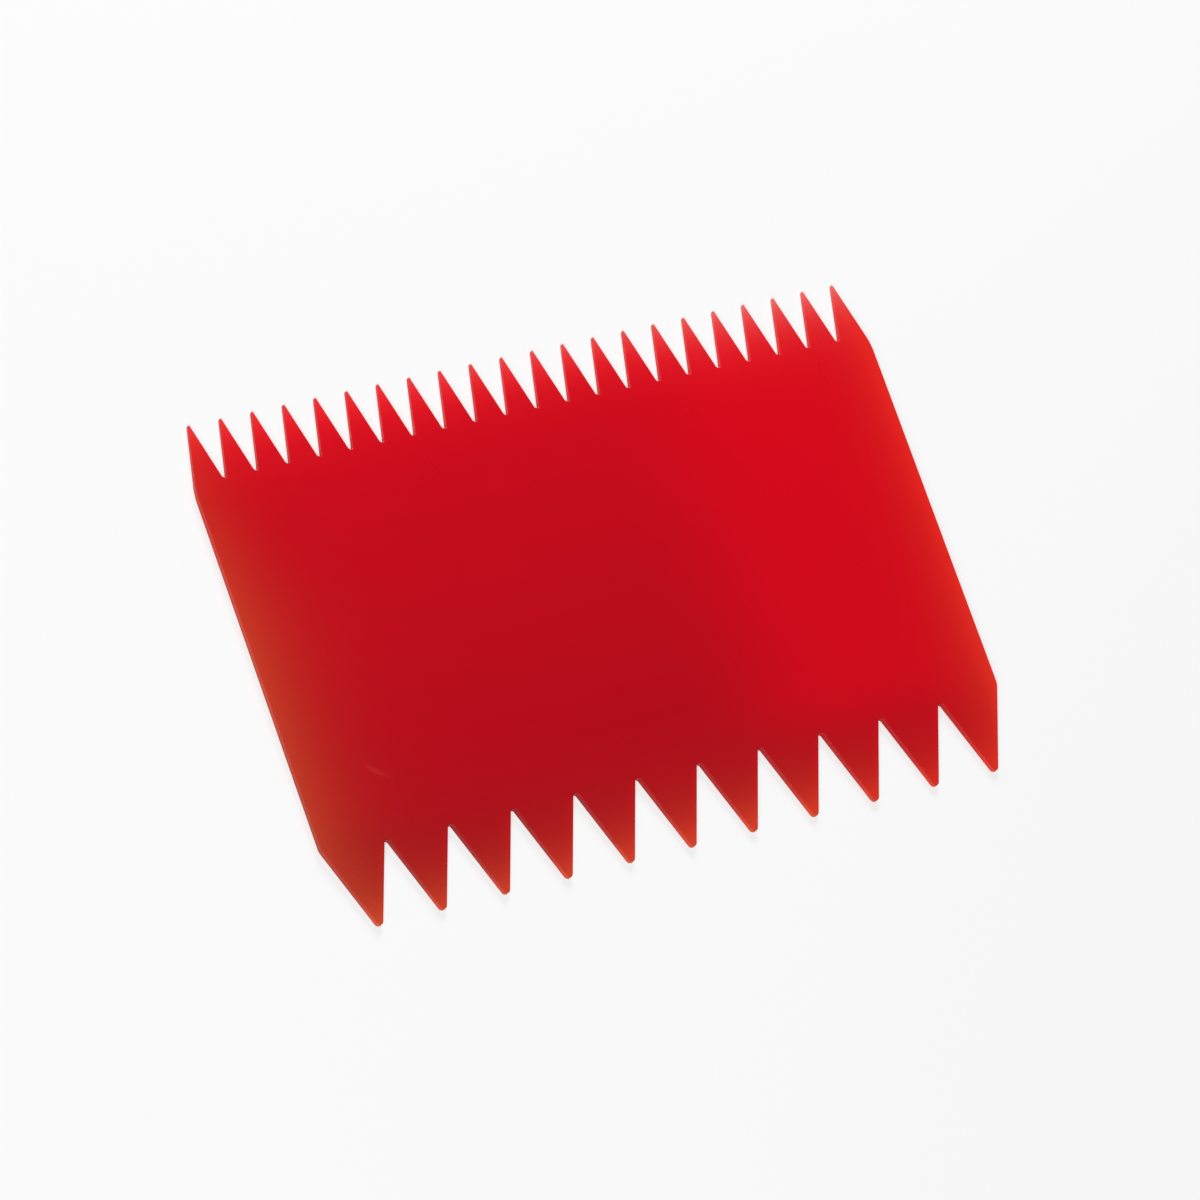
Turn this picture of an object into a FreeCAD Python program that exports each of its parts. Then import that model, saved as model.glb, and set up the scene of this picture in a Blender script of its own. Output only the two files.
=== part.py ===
import FreeCAD, Part
import math
import os

# Cake comb: one thin moulded plastic card, with fine teeth along one long edge
# and coarse teeth along the other. Lengths are in millimetres.
# X runs along the teeth, Y from the coarse teeth to the fine ones, and Z up
# through the card, which lies on its flat face. The origin is under its centre.

# Card
CARD_WIDTH = 110.0
CARD_HEIGHT = 76.8
CARD_THICKNESS = 1.2
EDGE_CHAMFER = 0.15
BEVEL_BLEND_RADIUS = 40.0

# Fine teeth
FINE_TOOTH_COUNT = 22
FINE_TOOTH_DEPTH = 8.7
FINE_TIP_RADIUS = 0.2
FINE_ROOT_RADIUS = 0.4
FINE_SHOULDER_RADIUS = 12.0
FINE_TIP_THICKNESS = 0.6
FINE_BEVEL_MARGIN = 2.0

# Coarse teeth
COARSE_TOOTH_COUNT = 11
COARSE_TOOTH_DEPTH = 11.5
COARSE_TIP_RADIUS = 0.6
COARSE_ROOT_RADIUS = 0.45
COARSE_SHOULDER_RADIUS = 3.0
COARSE_TIP_THICKNESS = 0.8
COARSE_BEVEL_MARGIN = 2.0

# How far the section runs past the card, so that no faces coincide
OVERRUN = 1.0

# How near counts as touching when the rim's edges are picked out
TOUCHING = 0.001


def arc_edge(centre, radius, start_angle, end_angle):
    """A round edge in the XY plane from one angle to the other."""
    middle_angle = (start_angle + end_angle) / 2
    points = [
        FreeCAD.Vector(
            centre.x + radius * math.cos(angle),
            centre.y + radius * math.sin(angle),
            0,
        )
        for angle in (start_angle, middle_angle, end_angle)
    ]
    return Part.Arc(*points).toShape()


def flank_angle(pitch, depth, tip_radius, root_radius):
    """The angle between a flank and the tooth's centre line.

    A straight flank is tangent to the round tip and to the round root, which
    lie half a pitch apart across the row and one depth apart along the tooth.
    """
    both_radii = tip_radius + root_radius
    half_pitch = pitch / 2
    reach = math.hypot(half_pitch, depth - both_radii)
    lean = math.atan2(depth - both_radii, half_pitch)
    return math.acos(both_radii / reach) - lean


def tooth_row(count, depth, tip_radius, root_radius, shoulder_radius):
    """The round edges of a row of teeth, left to right, tips up at y = 0.

    The row starts and ends with the shoulder where an outer flank meets the
    card's straight side. The straight flanks are the gaps between the edges.
    """
    pitch = CARD_WIDTH / count
    side = CARD_WIDTH / 2
    angle = flank_angle(pitch, depth, tip_radius, root_radius)

    # Distance below the tips where an outer flank, drawn on, meets the side
    tip_tangent_x = side - pitch / 2 + tip_radius * math.cos(angle)
    tip_tangent_y = -tip_radius + tip_radius * math.sin(angle)
    corner_y = tip_tangent_y - (side - tip_tangent_x) / math.tan(angle)
    shoulder_y = corner_y - shoulder_radius * math.tan(angle / 2)

    left_shoulder = FreeCAD.Vector(shoulder_radius - side, shoulder_y, 0)
    right_shoulder = FreeCAD.Vector(side - shoulder_radius, shoulder_y, 0)
    edges = [arc_edge(left_shoulder, shoulder_radius, math.pi, math.pi - angle)]
    for tooth in range(count):
        tooth_x = pitch * (tooth + 0.5) - side
        if tooth > 0:
            root = FreeCAD.Vector(tooth_x - pitch / 2, root_radius - depth, 0)
            edges.append(arc_edge(root, root_radius, math.pi + angle, 2 * math.pi - angle))
        tip = FreeCAD.Vector(tooth_x, -tip_radius, 0)
        edges.append(arc_edge(tip, tip_radius, math.pi - angle, angle))
    edges.append(arc_edge(right_shoulder, shoulder_radius, angle, 0))
    return edges


def joined(round_edges):
    """A closed wire of the round edges with straight edges between them."""
    edges = []
    for this, following in zip(round_edges, round_edges[1:] + round_edges[:1]):
        edges.append(this)
        start = this.Vertexes[-1].Point
        end = following.Vertexes[0].Point
        edges.append(Part.LineSegment(start, end).toShape())
    return Part.Wire(edges)


def card_outline():
    """The card's plan: fine teeth, right side, coarse teeth, left side."""
    fine_row = tooth_row(
        FINE_TOOTH_COUNT,
        FINE_TOOTH_DEPTH,
        FINE_TIP_RADIUS,
        FINE_ROOT_RADIUS,
        FINE_SHOULDER_RADIUS,
    )
    coarse_row = tooth_row(
        COARSE_TOOTH_COUNT,
        COARSE_TOOTH_DEPTH,
        COARSE_TIP_RADIUS,
        COARSE_ROOT_RADIUS,
        COARSE_SHOULDER_RADIUS,
    )
    origin = FreeCAD.Vector(0, 0, 0)
    upward = FreeCAD.Vector(0, 0, 1)
    for edge in fine_row:
        edge.translate(FreeCAD.Vector(0, CARD_HEIGHT / 2, 0))
    for edge in coarse_row:
        edge.translate(FreeCAD.Vector(0, CARD_HEIGHT / 2, 0))
        edge.rotate(origin, upward, 180)
    return joined(fine_row + coarse_row)


def bevel_points(tip_line, direction, tooth_depth, bevel_margin, tip_thickness):
    """Points on the bevel over one row of teeth, in the card's section.

    The first three are on the arc that blends the bevel into the level face,
    and the last is where it ends, past the tips by the overrun.
    """
    width = tooth_depth + bevel_margin
    slope = math.atan((CARD_THICKNESS - tip_thickness) / width)
    blend_start = BEVEL_BLEND_RADIUS * math.tan(slope / 2)

    def point(run, drop):
        return FreeCAD.Vector(0, tip_line - direction * (width - run), CARD_THICKNESS - drop)

    points = [
        point(
            BEVEL_BLEND_RADIUS * math.sin(angle) - blend_start,
            BEVEL_BLEND_RADIUS * (1 - math.cos(angle)),
        )
        for angle in (0, slope / 2, slope)
    ]
    full_run = width + OVERRUN
    return points + [point(full_run, full_run * math.tan(slope))]


def card_section():
    """The section across both rows of teeth, run through the card's width.

    It is flat below. Above, it is level between the rows, and a flat bevel
    that starts inside the roots thins each row towards its tips.
    """
    fine = bevel_points(
        CARD_HEIGHT / 2,
        1,
        FINE_TOOTH_DEPTH,
        FINE_BEVEL_MARGIN,
        FINE_TIP_THICKNESS,
    )
    coarse = bevel_points(
        -CARD_HEIGHT / 2,
        -1,
        COARSE_TOOTH_DEPTH,
        COARSE_BEVEL_MARGIN,
        COARSE_TIP_THICKNESS,
    )
    fine_foot = FreeCAD.Vector(0, fine[-1].y, 0)
    coarse_foot = FreeCAD.Vector(0, coarse[-1].y, 0)
    edges = [
        Part.LineSegment(coarse_foot, fine_foot).toShape(),
        Part.LineSegment(fine_foot, fine[3]).toShape(),
        Part.LineSegment(fine[3], fine[2]).toShape(),
        Part.Arc(fine[2], fine[1], fine[0]).toShape(),
        Part.LineSegment(fine[0], coarse[0]).toShape(),
        Part.Arc(coarse[0], coarse[1], coarse[2]).toShape(),
        Part.LineSegment(coarse[2], coarse[3]).toShape(),
        Part.LineSegment(coarse[3], coarse_foot).toShape(),
    ]
    face = Part.Face(Part.Wire(edges))
    length = CARD_WIDTH + 2 * OVERRUN
    face.translate(FreeCAD.Vector(-length / 2, 0, 0))
    return face.extrude(FreeCAD.Vector(length, 0, 0))


def is_upright(edge):
    """Whether an edge's two ends lie one above the other."""
    start, end = [vertex.Point for vertex in edge.Vertexes]
    return math.hypot(end.x - start.x, end.y - start.y) < TOUCHING


def upper_rim(card, outline):
    """The edges of the card's upper face that follow its outline."""
    rim = []
    for edge in card.Edges:
        point = edge.valueAt((edge.FirstParameter + edge.LastParameter) / 2)
        plan_point = Part.Vertex(point.x, point.y, 0)
        follows_outline = outline.distToShape(plan_point)[0] < TOUCHING
        if follows_outline and point.z > TOUCHING and not is_upright(edge):
            rim.append(edge)
    return rim


def comb():
    """The plan run up through the section, with its upper rim chamfered.

    The edges below stay sharp, because that is where the mould parts.
    """
    outline = card_outline()
    blank = Part.Face(outline).extrude(FreeCAD.Vector(0, 0, CARD_THICKNESS + OVERRUN))
    card = blank.common(card_section()).removeSplitter()
    return card.makeChamfer(EDGE_CHAMFER, upper_rim(card, outline))


def main():
    os.makedirs("parts", exist_ok=True)
    solid = comb().Solids[0]
    solid.exportStep("parts/comb.step")
    box = solid.BoundBox
    print("comb", round(box.XLength, 3), round(box.YLength, 3), round(box.ZLength, 3))
    print("volume", round(solid.Volume, 1), "valid", solid.isValid(), "faces", len(solid.Faces))


main()
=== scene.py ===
import math

import bpy
import numpy as np
from mathutils import Matrix, Vector


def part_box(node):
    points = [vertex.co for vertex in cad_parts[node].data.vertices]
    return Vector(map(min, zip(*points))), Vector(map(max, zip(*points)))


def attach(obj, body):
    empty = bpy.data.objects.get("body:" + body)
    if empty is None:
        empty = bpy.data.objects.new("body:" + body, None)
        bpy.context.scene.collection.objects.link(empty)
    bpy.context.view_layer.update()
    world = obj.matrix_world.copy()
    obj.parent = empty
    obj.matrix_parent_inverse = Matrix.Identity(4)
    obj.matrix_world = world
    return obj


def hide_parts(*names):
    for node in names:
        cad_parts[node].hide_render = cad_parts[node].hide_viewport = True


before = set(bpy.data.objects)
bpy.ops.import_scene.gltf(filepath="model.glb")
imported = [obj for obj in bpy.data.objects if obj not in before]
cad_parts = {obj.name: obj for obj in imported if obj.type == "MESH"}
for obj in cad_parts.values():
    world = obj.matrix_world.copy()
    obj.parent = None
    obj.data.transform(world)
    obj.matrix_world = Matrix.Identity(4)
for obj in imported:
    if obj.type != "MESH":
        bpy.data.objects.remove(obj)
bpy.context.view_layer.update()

bl_info = {
    "name": "Cake comb",
    "version": (1, 0, 0),
    "blender": (4, 5, 0),
    "location": "3D View > Sidebar > Cake comb",
    "description": "Moulded plastic cake comb with a fine and a coarse row of teeth",
    "category": "Add Mesh",
}

# Millimetres in metres
MM = 0.001

LOW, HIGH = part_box("comb")
CARD_WIDTH = HIGH[0] - LOW[0]
CARD_HEIGHT = HIGH[1] - LOW[1]
CARD_THICKNESS = HIGH[2] - LOW[2]

# Segments of each round at a tip, root or shoulder, and of each fine flank.
# A coarse flank gets as many more as make the two rows equal in number.
ROUND_STEPS = 8
FINE_FLANK_STEPS = 4
COARSE_FLANK_STEPS = ROUND_STEPS + 2 * FINE_FLANK_STEPS

# Grid rows of the faces: over each row of teeth, and between the two
TOOTH_ROWS = 12
MIDDLE_ROWS = 14

# Steps round the rim's quarter circle
RIM_STEPS = 5

# How far past the bevel the straight grid rows begin
GRID_MARGIN = 1.5 * MM

# Distance from a sharp turn of the surface to the ring that holds it
HOLDING = 0.04 * MM

# Painted light and shade over the card's colour. Brightness is nought for the
# deep colour, the plastic in full painted shade, and one for the bright colour,
# the plastic in full painted light: its amount at the middle, what it gains
# from there to the fine tips, what it gains in the right zone, and how much
# less of the first gain is left in that zone.
MIDDLE_BRIGHTNESS = 0.33
UPWARD_GAIN = 0.24
RIGHT_GAIN = 0.35
RIGHT_UPWARD_LOSS = 0.14

# Painted light that the upright walls gain, and what they lose in full painted shade
UPRIGHT_GAIN = 0.25
SHADED_LOSS = 0.33

# Zones: where a zone is full and where it ends, in millimetres from the left
# side, or from the coarse tips where the name says so
RIGHT_ZONE = (88.0, 60.0)
FAR_RIGHT_ZONE = (100.0, 65.0)
PAST_LEFT_ZONE = (60.0, 25.0)
COARSE_TIPS_ZONE = (1.5, 4.0)
COARSE_TEETH_ZONE = (8.0, 19.0)
LOWER_COARSE_ZONE = (10.0, 45.0)
UPPER_COARSE_ZONE = (70.0, 42.0)

# Painted light near an edge, and painted shade, which is taken off it: the
# millimetres over which each falls by a factor of e, and its amount at the edge.
# Near the coarse tips the painted light first stays level over the length below.
FINE_BRIGHTNESS = (4.0, 0.85)
COARSE_BRIGHTNESS = (2.3, 0.21)
COARSE_LEVEL_LENGTH = 1.5
RIGHT_BRIGHTNESS = (1.6, 0.50)
CORNER_BRIGHTNESS = (8.0, 0.35)
CORNER_DARKNESS = (30.0, 0.16)
LEFT_DARKNESS = (8.0, 0.10)

# The warm and the pale light painted near an edge, as if it came through the
# plastic, given in the same way
LEFT_WARMTH = (5.0, 0.37)
RIGHT_WARMTH = (3.5, 0.18)
COARSE_WARMTH = (4.0, 0.5)
FINE_PALENESS = (2.1, 0.19)
RIGHT_FINE_PALENESS = (3.0, 0.36)

# The warm light painted on the upright walls that aren't in painted shade
WALL_WARMTH = 0.1

# What share of its amount each of these gains or loses where its zone is full,
# and how much faster the warm light at the left falls in the upper zone
COARSE_TEETH_RIGHT_LOSS = 0.75
RIGHT_FINE_BRIGHTNESS_LOSS = 0.45
PAST_LEFT_COARSE_BRIGHTNESS_GAIN = 1.1
FAR_RIGHT_COARSE_BRIGHTNESS_LOSS = 0.5
PAST_LEFT_SHADE_LOSS = 0.35
UPPER_LEFT_WARMTH_LOSS = 0.6
UPPER_LEFT_WARMTH_SPEED = 0.3
LOWER_RIGHT_WARMTH_GAIN = 0.5
PAST_LEFT_COARSE_WARMTH_GAIN = 0.1
FAR_RIGHT_COARSE_WARMTH_LOSS = 0.6
PAST_LEFT_FINE_PALENESS_GAIN = 0.9

# The painted highlight along the right flank of each coarse tooth: from full to
# nothing, in millimetres from the flank and from the tips, and its amount
FLANK_BAND = (0.4, 1.4)
FLANK_BAND_END = (10.0, 11.5)
FLANK_BRIGHTNESS = 0.14

# The painted highlight, an arc of a circle, in millimetres: its centre from the
# left side and the coarse tips, and its radius; then, each from full to nothing,
# its start and its end from the left side, its top from the centre's height, and
# its line from the circle. Its strength comes last.
ARC_HIGHLIGHT_CENTRE = (19.2, 30.7)
ARC_HIGHLIGHT_RADIUS = 11.8
ARC_HIGHLIGHT_START = (11.3, 10.5)
ARC_HIGHLIGHT_END = (11.4, 14.6)
ARC_HIGHLIGHT_TOP = (-1.0, 0.0)
ARC_HIGHLIGHT_LINE = (0.1, 0.6)
ARC_HIGHLIGHT_STRENGTH = 0.16

# Noise in the plastic: the scale and detail of the wide clouds and of the fine
# grain, and how far each moves the brightness or the roughness
CLOUD_SCALE = 60.0
CLOUD_DETAIL = 3.0
CLOUD_BRIGHTNESS = 0.04
CLOUD_ROUGHNESS = 0.06
GRAIN_SCALE = 2600.0
GRAIN_DETAIL = 2.0
GRAIN_ROUGHNESS = 0.05

# The relief of the grain
GRAIN_STRENGTH = 0.12
GRAIN_HEIGHT = 0.02 * MM

# The stage, in metres: half the floor's side, and the place and the side of
# each square light
FLOOR_HALF = 3.0
KEY_PLACE = (0.16, 0.60, 0.33)
KEY_SIDE = 0.25
FILL_PLACE = (-0.6, -0.55, 0.8)
FILL_SIDE = 0.7
GLOSS_PLACE = (0.56, 0.26, 1.05)
GLOSS_SIDE = 0.3

# What the world gives to all but the camera, which sees it white
WORLD_GREY = (0.05, 0.05, 0.05)
WHITE = (1.0, 1.0, 1.0)

# The camera's sensor in millimetres, and how far it sees in metres
SENSOR_WIDTH = 36.0
CAMERA_REACH = 20.0


class CombShape(bpy.types.PropertyGroup):
    """Sizes of the comb that its box doesn't give."""

    fine_count: bpy.props.IntProperty(
        name="Fine teeth",
        description="Number of teeth in the fine row, twice the coarse row's",
        default=22,
        min=2,
    )
    fine_depth: bpy.props.FloatProperty(
        name="Fine tooth depth",
        description="From the tips of the fine row to its roots",
        default=8.7 * MM,
        unit="LENGTH",
    )
    fine_tip_radius: bpy.props.FloatProperty(
        name="Fine tip radius",
        description="Radius of a fine tooth's tip, seen from above",
        default=0.2 * MM,
        unit="LENGTH",
    )
    fine_root_radius: bpy.props.FloatProperty(
        name="Fine root radius",
        description="Radius of the root between two fine teeth",
        default=0.4 * MM,
        unit="LENGTH",
    )
    fine_shoulder_radius: bpy.props.FloatProperty(
        name="Fine shoulder radius",
        description="Radius where the fine row's outer flank meets the side",
        default=12.0 * MM,
        unit="LENGTH",
    )
    fine_tip_thickness: bpy.props.FloatProperty(
        name="Fine tip thickness",
        description="Thickness of the card at the fine tips",
        default=0.6 * MM,
        unit="LENGTH",
    )
    coarse_count: bpy.props.IntProperty(
        name="Coarse teeth",
        description="Number of teeth in the coarse row",
        default=11,
        min=1,
    )
    coarse_depth: bpy.props.FloatProperty(
        name="Coarse tooth depth",
        description="From the tips of the coarse row to its roots",
        default=11.5 * MM,
        unit="LENGTH",
    )
    coarse_tip_radius: bpy.props.FloatProperty(
        name="Coarse tip radius",
        description="Radius of a coarse tooth's tip, seen from above",
        default=0.6 * MM,
        unit="LENGTH",
    )
    coarse_root_radius: bpy.props.FloatProperty(
        name="Coarse root radius",
        description="Radius of the root between two coarse teeth",
        default=0.45 * MM,
        unit="LENGTH",
    )
    coarse_shoulder_radius: bpy.props.FloatProperty(
        name="Coarse shoulder radius",
        description="Radius where the coarse row's outer flank meets the side",
        default=3.0 * MM,
        unit="LENGTH",
    )
    coarse_tip_thickness: bpy.props.FloatProperty(
        name="Coarse tip thickness",
        description="Thickness of the card at the coarse tips",
        default=0.8 * MM,
        unit="LENGTH",
    )
    bevel_margin: bpy.props.FloatProperty(
        name="Bevel margin",
        description="How far each bevel runs on past the roots of its teeth",
        default=2.0 * MM,
        unit="LENGTH",
    )
    blend_radius: bpy.props.FloatProperty(
        name="Bevel blend radius",
        description="Radius that blends each bevel into the level face",
        default=40.0 * MM,
        unit="LENGTH",
    )
    rim_radius: bpy.props.FloatProperty(
        name="Rim radius",
        description="Rounding of the upper rim",
        default=0.14 * MM,
        unit="LENGTH",
    )


class CombFinish(bpy.types.PropertyGroup):
    """Colours of the plastic in painted light and shade, and its surface."""

    # The plastic in full painted shade, and in full painted light
    painted_shade_colour: bpy.props.FloatVectorProperty(
        name="Deep colour",
        description="Colour of the plastic where it looks darkest",
        default=(0.36, 0.0026, 0.0095),
        subtype="COLOR",
        size=3,
        min=0.0,
        max=1.0,
    )
    painted_light_colour: bpy.props.FloatVectorProperty(
        name="Bright colour",
        description="Colour of the plastic where it looks brightest",
        default=(0.80, 0.0006, 0.0095),
        subtype="COLOR",
        size=3,
        min=0.0,
        max=1.0,
    )
    # Painted light: the warm glow near the sides and coarse teeth, and the pale glow of the
    # fine teeth
    painted_glow_colour: bpy.props.FloatVectorProperty(
        name="Warm colour",
        description="Colour of light through the sides and the coarse teeth",
        default=(0.70, 0.11, 0.035),
        subtype="COLOR",
        size=3,
        min=0.0,
        max=1.0,
    )
    painted_pale_glow_colour: bpy.props.FloatVectorProperty(
        name="Pale colour",
        description="Colour of light through the fine teeth",
        default=(0.9, 0.22, 0.2),
        subtype="COLOR",
        size=3,
        min=0.0,
        max=1.0,
    )
    # A painted highlight in an arc near a corner
    arc_highlight_colour: bpy.props.FloatVectorProperty(
        name="Arc highlight colour",
        description="Colour of the faint painted highlight near a corner",
        default=(0.66, 0.06, 0.06),
        subtype="COLOR",
        size=3,
        min=0.0,
        max=1.0,
    )
    roughness: bpy.props.FloatProperty(
        name="Roughness",
        description="Roughness of the satin face",
        default=0.29,
        min=0.0,
        max=1.0,
        subtype="FACTOR",
    )
    gloss: bpy.props.FloatProperty(
        name="Gloss",
        description="How much the face mirrors, where one half is plain plastic",
        default=0.17,
        min=0.0,
        max=1.0,
        subtype="FACTOR",
    )


class StageSettings(bpy.types.PropertyGroup):
    """The floor, the lights and the camera."""

    floor_colour: bpy.props.FloatVectorProperty(
        name="Floor colour",
        description="Colour of the plain floor",
        default=(0.87, 0.87, 0.87),
        subtype="COLOR",
        size=3,
        min=0.0,
        max=1.0,
    )
    floor_glow: bpy.props.FloatProperty(
        name="Floor glow",
        description="Share of plain white in the floor as the camera sees it",
        default=0.65,
        min=0.0,
        max=1.0,
        subtype="FACTOR",
    )
    camera_aim: bpy.props.FloatVectorProperty(
        name="Camera aim",
        description="Point at the centre of the picture",
        default=(-0.47 * MM, 0.06 * MM, 0.0),
        subtype="TRANSLATION",
        size=3,
    )
    camera_azimuth: bpy.props.FloatProperty(
        name="Camera azimuth",
        description="Direction from the aim to the camera, seen from above, from +X towards +Y",
        default=math.radians(-152.17),
        subtype="ANGLE",
    )
    camera_elevation: bpy.props.FloatProperty(
        name="Camera elevation",
        description="Angle of the line of sight above the floor",
        default=math.radians(60.40),
        subtype="ANGLE",
    )
    camera_roll: bpy.props.FloatProperty(
        name="Camera roll",
        description="Turn of the camera about the line of sight",
        default=math.radians(45.54),
        subtype="ANGLE",
    )
    camera_distance: bpy.props.FloatProperty(
        name="Camera distance",
        description="From the camera to its aim",
        default=1141.9 * MM,
        unit="LENGTH",
    )
    camera_lens: bpy.props.FloatProperty(
        name="Camera lens",
        description="Focal length in millimetres, on a sensor 36 mm wide",
        default=240.0,
        unit="CAMERA",
    )
    key_power: bpy.props.FloatProperty(
        name="Key power",
        description="Power of the small soft light past the fine teeth, in watts",
        default=4.0,
        min=0.0,
        unit="POWER",
    )
    fill_power: bpy.props.FloatProperty(
        name="Fill power",
        description="Power of the wide soft light past the coarse teeth, in watts",
        default=11.8,
        min=0.0,
        unit="POWER",
    )
    gloss_power: bpy.props.FloatProperty(
        name="Gloss power",
        description="Power of the dim soft light that the face mirrors, in watts",
        default=0.02,
        min=0.0,
        unit="POWER",
    )


class Shade:
    """A shader value that adds and multiplies like a number."""

    def __init__(self, tree, socket):
        self.tree = tree
        self.socket = socket

    def maths(self, operation, *values):
        """A Math node on the values, which are shader values or numbers."""
        node = self.tree.nodes.new("ShaderNodeMath")
        node.operation = operation
        for place, value in zip(node.inputs, values):
            if isinstance(value, Shade):
                self.tree.links.new(value.socket, place)
            else:
                place.default_value = value
        return Shade(self.tree, node.outputs[0])

    def __add__(self, other):
        return self.maths("ADD", self, other)

    def __radd__(self, other):
        return self.maths("ADD", other, self)

    def __sub__(self, other):
        return self.maths("SUBTRACT", self, other)

    def __rsub__(self, other):
        return self.maths("SUBTRACT", other, self)

    def __mul__(self, other):
        return self.maths("MULTIPLY", self, other)

    def __rmul__(self, other):
        return self.maths("MULTIPLY", other, self)

    def __truediv__(self, other):
        return self.maths("DIVIDE", self, other)

    def __pow__(self, other):
        return self.maths("POWER", self, other)

    def __abs__(self):
        return self.maths("ABSOLUTE", self)

    def glow(self, light):
        """The light's amount at nought, less by a factor of e over its length."""
        length, amount = light
        return self.maths("EXPONENT", self / -length) * amount

    def fraction(self):
        """What is left of it over the next whole number below."""
        return self.maths("FRACT", self)

    def least(self, other):
        """The smaller of the two."""
        return self.maths("MINIMUM", self, other)

    def most(self, other):
        """The larger of the two."""
        return self.maths("MAXIMUM", self, other)

    def fade(self, start, end):
        """One at the start, zero at the end, and a smooth fall between them."""
        share = ((self - end) / (start - end)).most(0.0).least(1.0)
        return share * share * (3.0 - 2.0 * share)


class NodeBench:
    """Adds nodes to one tree, with their settings and inputs."""

    def __init__(self, tree):
        self.tree = tree
        tree.nodes.clear()

    def node(self, kind, settings=None, inputs=None):
        """A new node, with its settings made before its inputs are filled.

        An input goes by its name, or by its number where two share a name. A
        colour is given as red, green and blue.
        """
        node = self.tree.nodes.new(kind)
        for name, value in (settings or {}).items():
            setattr(node, name, value)
        for name, value in (inputs or {}).items():
            place = node.inputs[name]
            if isinstance(value, Shade):
                self.tree.links.new(value.socket, place)
            elif place.type == "RGBA":
                place.default_value = (*value, 1.0)
            else:
                place.default_value = value
        return node

    def shade(self, node, output=0):
        """A node's output as a shader value, its first unless one is named."""
        return Shade(self.tree, node.outputs[output])

    def parts(self, vector):
        """The X, Y and Z of a vector."""
        node = self.node("ShaderNodeSeparateXYZ", inputs={"Vector": vector})
        return [self.shade(node, axis) for axis in "XYZ"]

    def noise(self, place, scale, detail):
        """Smooth noise over a place, from zero to one and mostly near a half."""
        inputs = {"Vector": place, "Scale": scale, "Detail": detail}
        return self.shade(self.node("ShaderNodeTexNoise", inputs=inputs), "Fac")

    def mixed(self, factor, first, second):
        """The second colour over the first, by a factor from zero to one."""
        inputs = {"Factor": factor, "A": first, "B": second}
        node = self.node("ShaderNodeMix", settings={"data_type": "RGBA"}, inputs=inputs)
        return self.shade(node, "Result")


def flank_angle(pitch, depth, tip_radius, root_radius):
    """The angle between a straight flank and the tooth's centre line.

    The flank is tangent to the round tip and the round root: with half a
    pitch p, depth d and the sum of the radii s, the angle is
    acos(s / hypot(p, d - s)) - atan2(d - s, p).
    """
    both_radii = tip_radius + root_radius
    reach = math.hypot(pitch / 2, depth - both_radii)
    lean = math.atan2(depth - both_radii, pitch / 2)
    return math.acos(both_radii / reach) - lean


def tooth_row(count, depth, tip_radius, root_radius, shoulder_radius, flank_steps):
    """Plan points and outward normals along a row of teeth, tips up at y = 0.

    Rounds alternate with straight flanks: a shoulder, then a tip, a root, a
    tip and so on, then a shoulder. A round's points are its centre plus its
    radius times (cos(t), sin(t)), and a flank runs straight from the end of
    one round to the start of the next.
    """
    pitch = CARD_WIDTH / count
    side = CARD_WIDTH / 2
    angle = flank_angle(pitch, depth, tip_radius, root_radius)

    # Distance below the tips where an outer flank, drawn on, meets the side
    tangent_gap = pitch / 2 - tip_radius * math.cos(angle)
    tangent_y = tip_radius * math.sin(angle) - tip_radius
    corner_y = tangent_y - tangent_gap / math.tan(angle)
    shoulder_y = corner_y - shoulder_radius * math.tan(angle / 2)

    # Every round is first a root, then each second one is made a tip, and
    # the first and the last a shoulder
    rounds = 2 * count + 1
    centre_x = np.arange(rounds) / 2 * pitch - side
    centre_y = np.full(rounds, root_radius - depth)
    radius = np.full(rounds, root_radius)
    start = np.full(rounds, math.pi + angle)
    end = np.full(rounds, 2 * math.pi - angle)
    outward = np.full(rounds, -1.0)

    tips = slice(1, None, 2)
    centre_y[tips] = -tip_radius
    radius[tips] = tip_radius
    start[tips] = math.pi - angle
    end[tips] = angle
    outward[tips] = 1.0

    ends = [0, -1]
    centre_x[ends] = [shoulder_radius - side, side - shoulder_radius]
    centre_y[ends] = shoulder_y
    radius[ends] = shoulder_radius
    start[ends] = [math.pi, angle]
    end[ends] = [math.pi - angle, 0.0]
    outward[ends] = 1.0

    share = np.linspace(0.0, 1.0, ROUND_STEPS + 1)
    turn = start[:, None] + (end - start)[:, None] * share
    radial = np.stack([np.cos(turn), np.sin(turn)], axis=2)
    centre = np.stack([centre_x, centre_y], axis=1)
    points = centre[:, None, :] + radius[:, None, None] * radial
    normals = outward[:, None, None] * radial

    # The flank after each round but the last, without its two end points
    along = np.linspace(0.0, 1.0, flank_steps + 1)[1:-1, None]
    leaving = points[:-1, -1, None, :]
    arriving = points[1:, 0, None, :]
    flank_points = leaving + (arriving - leaving) * along
    flank_normals = np.repeat(normals[:-1, -1, None, :], flank_steps - 1, axis=1)

    def in_order(on_rounds, on_flanks):
        """Each round but the last with the flank after it, then the last."""
        most = np.concatenate([on_rounds[:-1], on_flanks], axis=1).reshape(-1, 2)
        return np.concatenate([most, on_rounds[-1]])

    return in_order(points, flank_points), in_order(normals, flank_normals)


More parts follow.
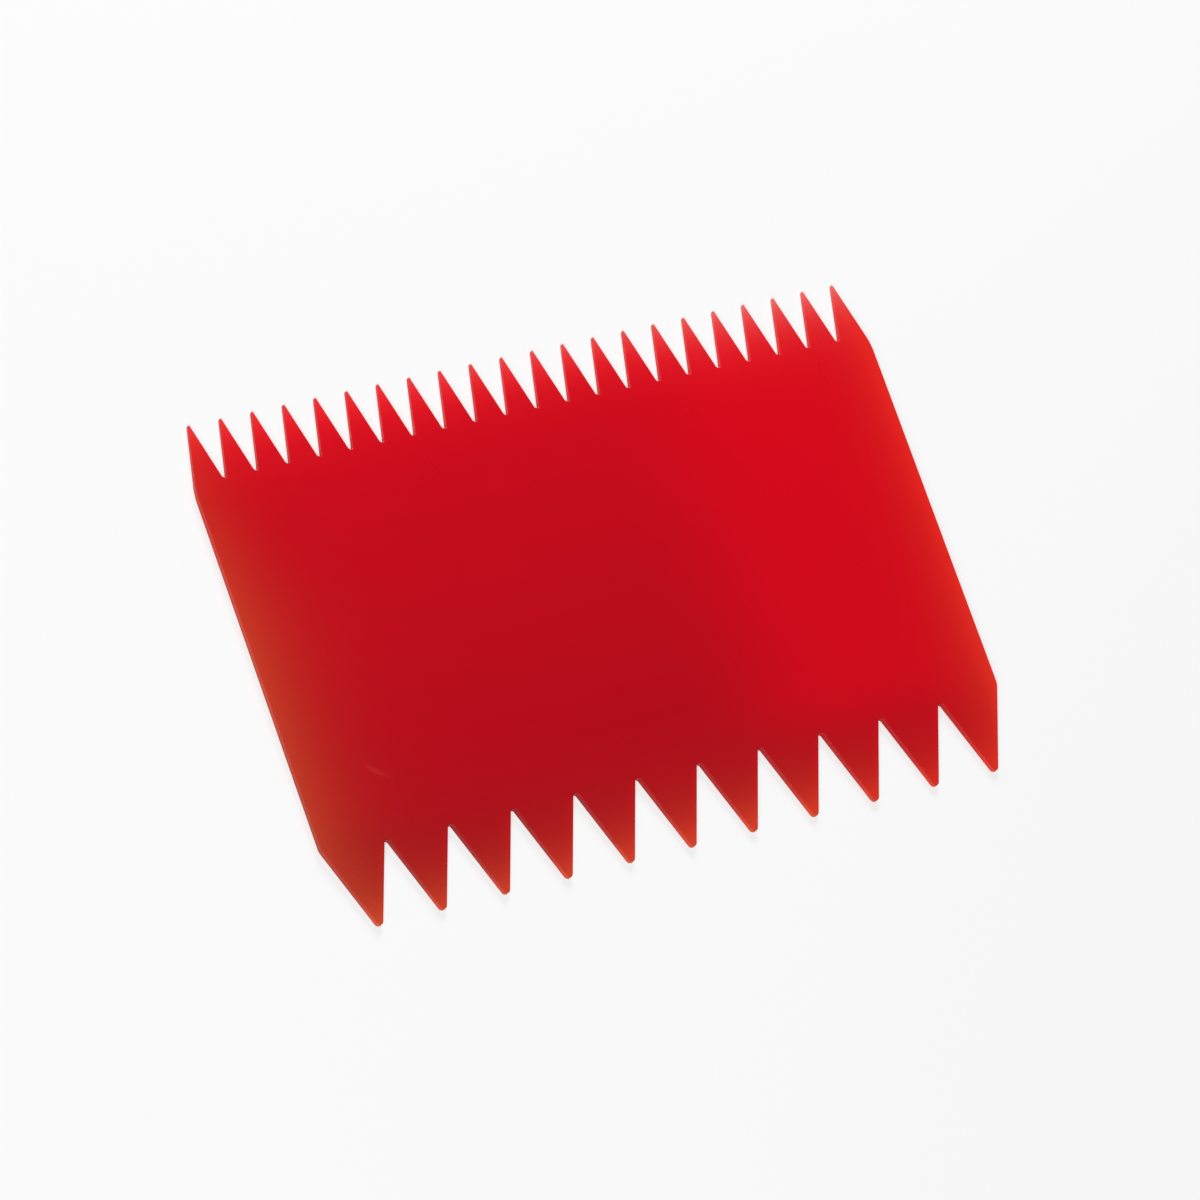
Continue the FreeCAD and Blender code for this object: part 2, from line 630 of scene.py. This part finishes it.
def card_height(y, shape):
    """Height of the upper face at y: level, less the bevel over each row.

    A bevel starts its width in from the tips. It drops by run * tan(slope),
    and an arc round its edge, tangent to both faces, drops by
    R * (1 - cos(asin(run / R))), with its run counted from where it starts.
    """
    height = np.full(y.shape, CARD_THICKNESS)
    rows = [
        (CARD_HEIGHT / 2 - y, shape.fine_depth, shape.fine_tip_thickness),
        (CARD_HEIGHT / 2 + y, shape.coarse_depth, shape.coarse_tip_thickness),
    ]
    for from_tips, depth, tip_thickness in rows:
        width = depth + shape.bevel_margin
        slope = math.atan((CARD_THICKNESS - tip_thickness) / width)
        blend = shape.blend_radius * math.tan(slope / 2)
        run = width - from_tips
        arc_run = np.clip(run + blend, 0.0, shape.blend_radius * math.sin(slope))
        arc_drop = shape.blend_radius - np.sqrt(shape.blend_radius**2 - arc_run**2)
        past_arc = run > shape.blend_radius * math.sin(slope) - blend
        height -= np.where(past_arc, run * math.tan(slope), arc_drop)
    return height


def card_grid(shape, fine_row, coarse_row, inset):
    """Plan points of a face: grid rows from the fine teeth to the coarse.

    The outline is moved inwards along its normals. Over each row of teeth the
    grid rows run in equal steps from it to a straight, evenly spaced line,
    and between the two lines they are straight.
    """
    outlines = []
    lines = []
    depths = [shape.fine_depth, shape.coarse_depth]
    for (points, normals), depth, direction in zip([fine_row, coarse_row], depths, [1, -1]):
        moved = points - inset * normals
        outline = np.stack([moved[:, 0], direction * (moved[:, 1] + CARD_HEIGHT / 2)], axis=1)
        even_x = np.linspace(outline[0, 0], outline[-1, 0], len(outline))
        line_y = direction * (CARD_HEIGHT / 2 - depth - shape.bevel_margin - GRID_MARGIN)
        outlines.append(outline)
        lines.append(np.stack([even_x, np.full(len(outline), line_y)], axis=1))

    def between(first, last, steps):
        """Evenly spaced grid rows from the first to the last."""
        share = np.linspace(0.0, 1.0, steps + 1)[:, None, None]
        return first + (last - first) * share

    fine_part = between(outlines[0], lines[0], TOOTH_ROWS)
    middle = between(lines[0], lines[1], MIDDLE_ROWS)
    coarse_part = between(lines[1], outlines[1], TOOTH_ROWS)
    return np.concatenate([fine_part[:-1], middle[:-1], coarse_part])


def boundary(grid):
    """The border of a grid in one loop: first row, last column, and back."""
    return np.concatenate([grid[0, :-1], grid[:-1, -1], grid[-1, :0:-1], grid[:0:-1, 0]])


def comb_surface(shape):
    """Vertices and faces of the whole closed surface.

    Upper and lower face are grids in plan, at the height of the card and at
    nought. Between their borders, rings go round the outline: a tiny lower
    edge, the upright wall, and a quarter round of the rim's radius r, inset
    by r * (1 - cos(t)) and r * (1 - sin(t)) below the face, t from 0 to 90
    degrees. Rings close to each turn hold it crisp under smooth shading.
    """
    fine_row = tooth_row(
        shape.fine_count,
        shape.fine_depth,
        shape.fine_tip_radius,
        shape.fine_root_radius,
        shape.fine_shoulder_radius,
        FINE_FLANK_STEPS,
    )
    coarse_row = tooth_row(
        shape.coarse_count,
        shape.coarse_depth,
        shape.coarse_tip_radius,
        shape.coarse_root_radius,
        shape.coarse_shoulder_radius,
        COARSE_FLANK_STEPS,
    )

    def grid_points(inset, height_of):
        """A face's points, moved inwards by the inset, with their heights."""
        plan = card_grid(shape, fine_row, coarse_row, inset)
        return np.concatenate([plan, height_of(plan[:, :, 1])[:, :, None]], axis=2)

    # Heights over y: the upper face, a drop below it, and a rise from nought
    def top(y):
        return card_height(y, shape)

    def below(drop):
        return lambda y: top(y) - drop

    def above(rise):
        return lambda y: np.full(y.shape, rise)

    radius = shape.rim_radius
    rings = [
        (0.0, above(HOLDING)),
        (0.0, above(2 * HOLDING)),
        (0.0, lambda y: (top(y) - radius) / 2),
        (0.0, below(radius + HOLDING)),
    ]
    for turn in np.linspace(0.0, math.pi / 2, RIM_STEPS + 1):
        inset = radius * (1 - math.cos(turn))
        rings.append((inset, below(radius * (1 - math.sin(turn)))))

    lower = grid_points(HOLDING, above(0.0))
    upper = grid_points(radius + HOLDING, top)
    loops = [boundary(grid_points(inset, height_of)) for inset, height_of in rings]

    rows, columns = lower.shape[:2]
    grid_numbers = np.arange(rows * columns).reshape(rows, columns)
    upper_numbers = grid_numbers + rows * columns
    loop_numbers = 2 * rows * columns + np.arange(len(loops) * len(loops[0]))
    loop_numbers = loop_numbers.reshape(len(loops), -1)
    band = np.concatenate([
        boundary(grid_numbers)[None],
        loop_numbers,
        boundary(upper_numbers)[None],
    ])
    following = np.roll(band, -1, axis=1)

    def quads(a, b, c, d):
        """Faces of four corners, from grids of the corners' numbers."""
        return np.stack([a, b, c, d], axis=-1).reshape(-1, 4)

    lower_faces = quads(
        grid_numbers[:-1, :-1],
        grid_numbers[:-1, 1:],
        grid_numbers[1:, 1:],
        grid_numbers[1:, :-1],
    )
    upper_faces = quads(
        upper_numbers[:-1, :-1],
        upper_numbers[1:, :-1],
        upper_numbers[1:, 1:],
        upper_numbers[:-1, 1:],
    )
    band_faces = quads(band[:-1], band[1:], following[1:], following[:-1])
    vertices = np.concatenate([lower.reshape(-1, 3), upper.reshape(-1, 3), *loops])
    return vertices, np.concatenate([lower_faces, upper_faces, band_faces])


class CardPlaces:
    """Where a point of the card is, from its X and Y in millimetres.

    It holds the share of the way up from the middle, from -1 to 1, the
    distances from the edges in millimetres, and how full each zone is.
    """

    def __init__(self, x, y):
        half_width = CARD_WIDTH / 2 / MM
        half_height = CARD_HEIGHT / 2 / MM
        self.upward = y / half_height
        self.from_left = x + half_width
        self.from_right = half_width - x
        self.from_fine = half_height - y
        self.from_coarse = y + half_height
        self.past_left = self.from_left.fade(*PAST_LEFT_ZONE)
        self.far_right = self.from_left.fade(*FAR_RIGHT_ZONE)
        self.coarse_teeth = self.from_coarse.fade(*COARSE_TEETH_ZONE)
        self.lower = self.from_coarse.fade(*LOWER_COARSE_ZONE)
        self.upper = self.from_coarse.fade(*UPPER_COARSE_ZONE)


def painted_flank_highlight(card, shape):
    """The painted highlight along each coarse tooth's right flank, one where it is full.

    Across its pitch, each tooth has x = 0 on its centre line. At a distance d
    from the tips its straight flank, at the angle a, is at
    x = d * tan(a) + r * (cos(a) - (1 - sin(a)) * tan(a)), for a tip radius r.
    """
    pitch = CARD_WIDTH / shape.coarse_count / MM
    radius = shape.coarse_tip_radius / MM
    angle = flank_angle(
        pitch,
        shape.coarse_depth / MM,
        radius,
        shape.coarse_root_radius / MM,
    )
    slope = math.tan(angle)
    tooth_x = ((card.from_left / pitch).fraction() - 0.5) * pitch
    tip_x = radius * (math.cos(angle) - (1 - math.sin(angle)) * slope)
    flank_x = card.from_coarse * slope + tip_x
    from_flank = (flank_x - tooth_x) * math.cos(angle)
    return from_flank.fade(*FLANK_BAND) * card.from_coarse.fade(*FLANK_BAND_END)


def painted_face_light(card):
    """Painted light and shade on the face, before the flank highlights and the walls.

    It grows to the right and towards the fine teeth, and again near the tips
    and the right side. It falls near the left side.
    """
    coarse_teeth_share = 1.0 - card.coarse_teeth * COARSE_TEETH_RIGHT_LOSS
    to_right = card.from_left.fade(*RIGHT_ZONE) * coarse_teeth_share
    brightness = MIDDLE_BRIGHTNESS + card.upward * UPWARD_GAIN
    brightness = brightness + to_right * (RIGHT_GAIN - card.upward * RIGHT_UPWARD_LOSS)

    # Painted light near the fine and the coarse tips
    fine_share = 1.0 - to_right * RIGHT_FINE_BRIGHTNESS_LOSS
    brightness = brightness + card.from_fine.glow(FINE_BRIGHTNESS) * fine_share

    coarse_gain = card.past_left * PAST_LEFT_COARSE_BRIGHTNESS_GAIN
    coarse_loss = card.far_right * FAR_RIGHT_COARSE_BRIGHTNESS_LOSS
    past_level = (card.from_coarse - COARSE_LEVEL_LENGTH).most(0.0)
    coarse_glow = past_level.glow(COARSE_BRIGHTNESS) * (1.0 + coarse_gain - coarse_loss)
    brightness = brightness + coarse_glow

    # Painted light near the right side and painted shade near the left, more of each in the
    # coarse teeth zone
    sides = card.from_right.glow(RIGHT_BRIGHTNESS) - card.from_left.glow(LEFT_DARKNESS)
    corners = card.from_right.glow(CORNER_BRIGHTNESS) - card.from_left.glow(CORNER_DARKNESS)
    return brightness + sides + card.coarse_teeth * corners


def wall_shade(card):
    """The painted shade on the walls of the lower sides and the coarse teeth.

    It ends short of the coarse tips, and is weaker past the left.
    """
    past_tips = 1.0 - card.from_coarse.fade(*COARSE_TIPS_ZONE)
    return card.lower * past_tips * (1.0 - card.past_left * PAST_LEFT_SHADE_LOSS)


def painted_edge_glow(card, upright, shaded):
    """The warm light painted near the sides and the coarse tips as if it came through, and on
    the walls in painted light.
    """
    left_speed = 1.0 + card.upper * UPPER_LEFT_WARMTH_SPEED
    left_share = 1.0 - card.upper * UPPER_LEFT_WARMTH_LOSS
    left_glow = (card.from_left * left_speed).glow(LEFT_WARMTH) * left_share
    right_share = 1.0 + card.lower * LOWER_RIGHT_WARMTH_GAIN
    right_glow = card.from_right.glow(RIGHT_WARMTH) * right_share
    coarse_gain = card.past_left * PAST_LEFT_COARSE_WARMTH_GAIN
    coarse_loss = card.far_right * FAR_RIGHT_COARSE_WARMTH_LOSS
    coarse_glow = card.from_coarse.glow(COARSE_WARMTH) * (1.0 + coarse_gain - coarse_loss)
    wall_glow = upright * (1.0 - shaded) * WALL_WARMTH
    return (left_glow + right_glow + coarse_glow + wall_glow).least(1.0)


def painted_fine_glow(card):
    """The pale light painted on the fine teeth as if it came through them, strongest at the
    right.
    """
    share = 1.0 + card.past_left * PAST_LEFT_FINE_PALENESS_GAIN
    right_glow = card.from_fine.glow(RIGHT_FINE_PALENESS) * card.far_right
    return (card.from_fine.glow(FINE_PALENESS) * share + right_glow).least(1.0)


def painted_arc_highlight(card):
    """The painted highlight in an arc, the part of its circle below the centre."""
    off_x = card.from_left - ARC_HIGHLIGHT_CENTRE[0]
    off_y = card.from_coarse - ARC_HIGHLIGHT_CENTRE[1]
    off_arc = abs((off_x * off_x + off_y * off_y) ** 0.5 - ARC_HIGHLIGHT_RADIUS)
    along_arc = card.from_left.fade(*ARC_HIGHLIGHT_START) * card.from_left.fade(*ARC_HIGHLIGHT_END)
    return off_arc.fade(*ARC_HIGHLIGHT_LINE) * along_arc * off_y.fade(*ARC_HIGHLIGHT_TOP) * ARC_HIGHLIGHT_STRENGTH


def plastic_material(finish, shape):
    """Satin red plastic, painted lighter near its edges as if light came through.

    Its colour goes from painted shade to painted light with the brightness, and
    then towards the painted warm and pale glow and the painted arc highlight
    where each of these shows.
    """
    material = bpy.data.materials.new("red_plastic")
    material.use_nodes = True
    bench = NodeBench(material.node_tree)
    coordinates = bench.node("ShaderNodeTexCoord")
    place = bench.shade(coordinates, "Object")
    x, y = bench.parts(place)[:2]
    facing_up = bench.parts(bench.shade(coordinates, "Normal"))[2]
    card = CardPlaces(x / MM, y / MM)
    clouds = bench.noise(place, CLOUD_SCALE, CLOUD_DETAIL) - 0.5
    grain = bench.noise(place, GRAIN_SCALE, GRAIN_DETAIL)

    # One on the upright walls, and about nought on the faces
    upright = 1.0 - facing_up ** 2.0
    shaded = wall_shade(card)

    # Painted light and shade on the face, with a painted highlight along each coarse right
    # flank
    brightness = painted_face_light(card) + painted_flank_highlight(card, shape) * FLANK_BRIGHTNESS
    # Painted light on the upright walls, less where they are in painted shade
    brightness = brightness + upright * (UPRIGHT_GAIN - shaded * SHADED_LOSS)
    brightness = brightness + clouds * CLOUD_BRIGHTNESS
    # From painted shade to painted light, then the painted glow near the edges and the painted
    # arc highlight
    colour = bench.mixed(brightness, finish.painted_shade_colour, finish.painted_light_colour)
    colour = bench.mixed(painted_edge_glow(card, upright, shaded), colour, finish.painted_glow_colour)
    colour = bench.mixed(painted_fine_glow(card), colour, finish.painted_pale_glow_colour)
    colour = bench.mixed(painted_arc_highlight(card), colour, finish.arc_highlight_colour)

    roughness = finish.roughness + clouds * CLOUD_ROUGHNESS + (grain - 0.5) * GRAIN_ROUGHNESS
    relief = {"Strength": GRAIN_STRENGTH, "Distance": GRAIN_HEIGHT, "Height": grain}
    bump = bench.node("ShaderNodeBump", inputs=relief)
    surface = bench.node(
        "ShaderNodeBsdfPrincipled",
        inputs={
            "Base Color": colour,
            "Roughness": roughness,
            "Normal": bench.shade(bump),
            "Specular IOR Level": finish.gloss,
        },
    )
    bench.node("ShaderNodeOutputMaterial", inputs={"Surface": bench.shade(surface)})
    return material


def aimed(location, target):
    """A transform at the location, with its -Z axis towards the target."""
    direction = Vector(target) - Vector(location)
    turn = direction.to_track_quat("-Z", "Y").to_matrix().to_4x4()
    return Matrix.Translation(location) @ turn


class MESH_OT_cake_comb(bpy.types.Operator):
    """Build the comb's surface and its plastic."""

    bl_idname = "mesh.cake_comb"
    bl_label = "Build the comb"

    def execute(self, context):
        scene = context.scene
        vertices, faces = comb_surface(scene.comb_shape)
        mesh = bpy.data.meshes.new("comb_surface")
        mesh.from_pydata(vertices.tolist(), [], faces.tolist())
        if mesh.validate():
            raise RuntimeError("The comb's surface has faulty faces")
        mesh.polygons.foreach_set("use_smooth", [True] * len(mesh.polygons))
        mesh.materials.append(plastic_material(scene.comb_finish, scene.comb_shape))
        mesh.update()
        comb = bpy.data.objects.new("comb_surface", mesh)
        scene.collection.objects.link(comb)
        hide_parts("comb")
        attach(comb, "root")
        return {"FINISHED"}


class SCENE_OT_comb_stage(bpy.types.Operator):
    """Set up the floor, the lights, the camera and the world."""

    bl_idname = "scene.comb_stage"
    bl_label = "Set the stage"

    def execute(self, context):
        scene = context.scene
        stage = scene.comb_stage
        self.add_floor(scene, stage)
        self.add_lights(scene, stage)
        self.add_camera(scene, stage)
        self.set_world(scene)
        scene.view_settings.view_transform = "Standard"
        return {"FINISHED"}

    def add_floor(self, scene, stage):
        """A wide flat floor that looks nearly white to the camera."""
        turns = [(-1, -1), (1, -1), (1, 1), (-1, 1)]
        corners = [(FLOOR_HALF * x, FLOOR_HALF * y, 0.0) for x, y in turns]
        mesh = bpy.data.meshes.new("floor")
        mesh.from_pydata(corners, [], [(0, 1, 2, 3)])
        material = bpy.data.materials.new("floor")
        material.use_nodes = True
        bench = NodeBench(material.node_tree)
        cover = bench.node("ShaderNodeBsdfDiffuse", inputs={"Color": stage.floor_colour})
        glow = bench.node("ShaderNodeEmission")
        ray = bench.node("ShaderNodeLightPath")
        share = bench.shade(ray, "Is Camera Ray") * stage.floor_glow
        shaders = {"Fac": share, 1: bench.shade(cover), 2: bench.shade(glow)}
        both = bench.node("ShaderNodeMixShader", inputs=shaders)
        bench.node("ShaderNodeOutputMaterial", inputs={"Surface": bench.shade(both)})
        mesh.materials.append(material)
        floor = bpy.data.objects.new("floor", mesh)
        scene.collection.objects.link(floor)

    def add_lights(self, scene, stage):
        """Square lights past the two rows of teeth, and one for the face to mirror."""
        lights = [
            ("key", KEY_PLACE, KEY_SIDE, stage.key_power),
            ("fill", FILL_PLACE, FILL_SIDE, stage.fill_power),
            ("gloss", GLOSS_PLACE, GLOSS_SIDE, stage.gloss_power),
        ]
        for name, location, side, power in lights:
            light = bpy.data.lights.new(name, "AREA")
            light.shape = "SQUARE"
            light.size = side
            light.energy = power
            lamp = bpy.data.objects.new(name, light)
            lamp.matrix_world = aimed(location, (0.0, 0.0, 0.0))
            scene.collection.objects.link(lamp)

    def add_camera(self, scene, stage):
        """A camera turned round its aim, then about its line of sight."""
        level = math.cos(stage.camera_elevation)
        direction = Vector((
            level * math.cos(stage.camera_azimuth),
            level * math.sin(stage.camera_azimuth),
            math.sin(stage.camera_elevation),
        ))
        aim = Vector(stage.camera_aim)
        location = aim + direction * stage.camera_distance
        roll = Matrix.Rotation(stage.camera_roll, 4, "Z")
        data = bpy.data.cameras.new("camera")
        data.lens = stage.camera_lens
        data.sensor_width = SENSOR_WIDTH
        data.clip_end = CAMERA_REACH
        camera = bpy.data.objects.new("camera", data)
        camera.matrix_world = aimed(location, aim) @ roll
        scene.collection.objects.link(camera)
        scene.camera = camera

    def set_world(self, scene):
        """White to the camera, and a soft dim glow to everything else."""
        world = bpy.data.worlds.new("studio")
        world.use_nodes = True
        bench = NodeBench(world.node_tree)
        ray = bench.node("ShaderNodeLightPath")
        colour = bench.mixed(bench.shade(ray, "Is Camera Ray"), WORLD_GREY, WHITE)
        glow = bench.node("ShaderNodeBackground", inputs={"Color": colour})
        bench.node("ShaderNodeOutputWorld", inputs={"Surface": bench.shade(glow)})
        scene.world = world


class VIEW3D_PT_cake_comb(bpy.types.Panel):
    """The sizes, the finish, the stage and the buttons."""

    bl_label = "Cake comb"
    bl_space_type = "VIEW_3D"
    bl_region_type = "UI"
    bl_category = "Cake comb"

    def draw(self, context):
        groups = [
            (context.scene.comb_shape, "Shape"),
            (context.scene.comb_finish, "Finish"),
            (context.scene.comb_stage, "Stage"),
        ]
        for group, title in groups:
            box = self.layout.box()
            box.label(text=title)
            for name in type(group).__annotations__:
                box.prop(group, name)
        self.layout.operator(MESH_OT_cake_comb.bl_idname)
        self.layout.operator(SCENE_OT_comb_stage.bl_idname)


CLASSES = [
    CombShape,
    CombFinish,
    StageSettings,
    MESH_OT_cake_comb,
    SCENE_OT_comb_stage,
    VIEW3D_PT_cake_comb,
]


def register():
    for item in CLASSES:
        bpy.utils.register_class(item)
    bpy.types.Scene.comb_shape = bpy.props.PointerProperty(type=CombShape)
    bpy.types.Scene.comb_finish = bpy.props.PointerProperty(type=CombFinish)
    bpy.types.Scene.comb_stage = bpy.props.PointerProperty(type=StageSettings)


def unregister():
    del bpy.types.Scene.comb_stage
    del bpy.types.Scene.comb_finish
    del bpy.types.Scene.comb_shape
    for item in reversed(CLASSES):
        bpy.utils.unregister_class(item)


def main():
    register()
    bpy.ops.mesh.cake_comb()
    bpy.ops.scene.comb_stage()


if __name__ == "__main__":
    main()
